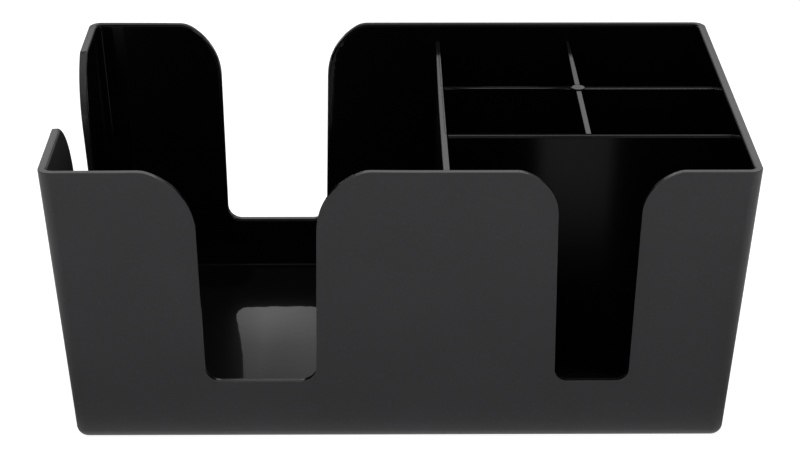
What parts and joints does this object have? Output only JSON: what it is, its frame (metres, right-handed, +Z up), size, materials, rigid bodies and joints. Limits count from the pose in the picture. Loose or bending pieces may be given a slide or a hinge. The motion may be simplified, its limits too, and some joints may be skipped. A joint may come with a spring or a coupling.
{
  "type": "bar caddy",
  "caption": "Black moulded plastic bar caddy: an open tub with leaning walls, a square napkin bay with finger notches, a narrow front bay and small cells that meet at a round post.",
  "frame": {"origin": "middle of the base, at the height of the surface that the caddy stands on", "axes": "+Z up, front with the two finger notches towards -Y, cells on the right towards +X"},
  "size_m": [0.2414, 0.146, 0.106],
  "materials": {
    "black_moulding": "fine moulded grain outside, polished inside",
    "black_polished": "polished"
  },
  "bodies": {
    "root": {"tub": "black_moulding", "bay_divider": "black_polished", "cell_front_divider": "black_polished", "cross_rib_left": "black_polished", "cross_rib_right": "black_polished", "long_rib_front": "black_polished", "long_rib_rear": "black_polished", "centre_post": "black_polished"}
  },
  "joints": []
}
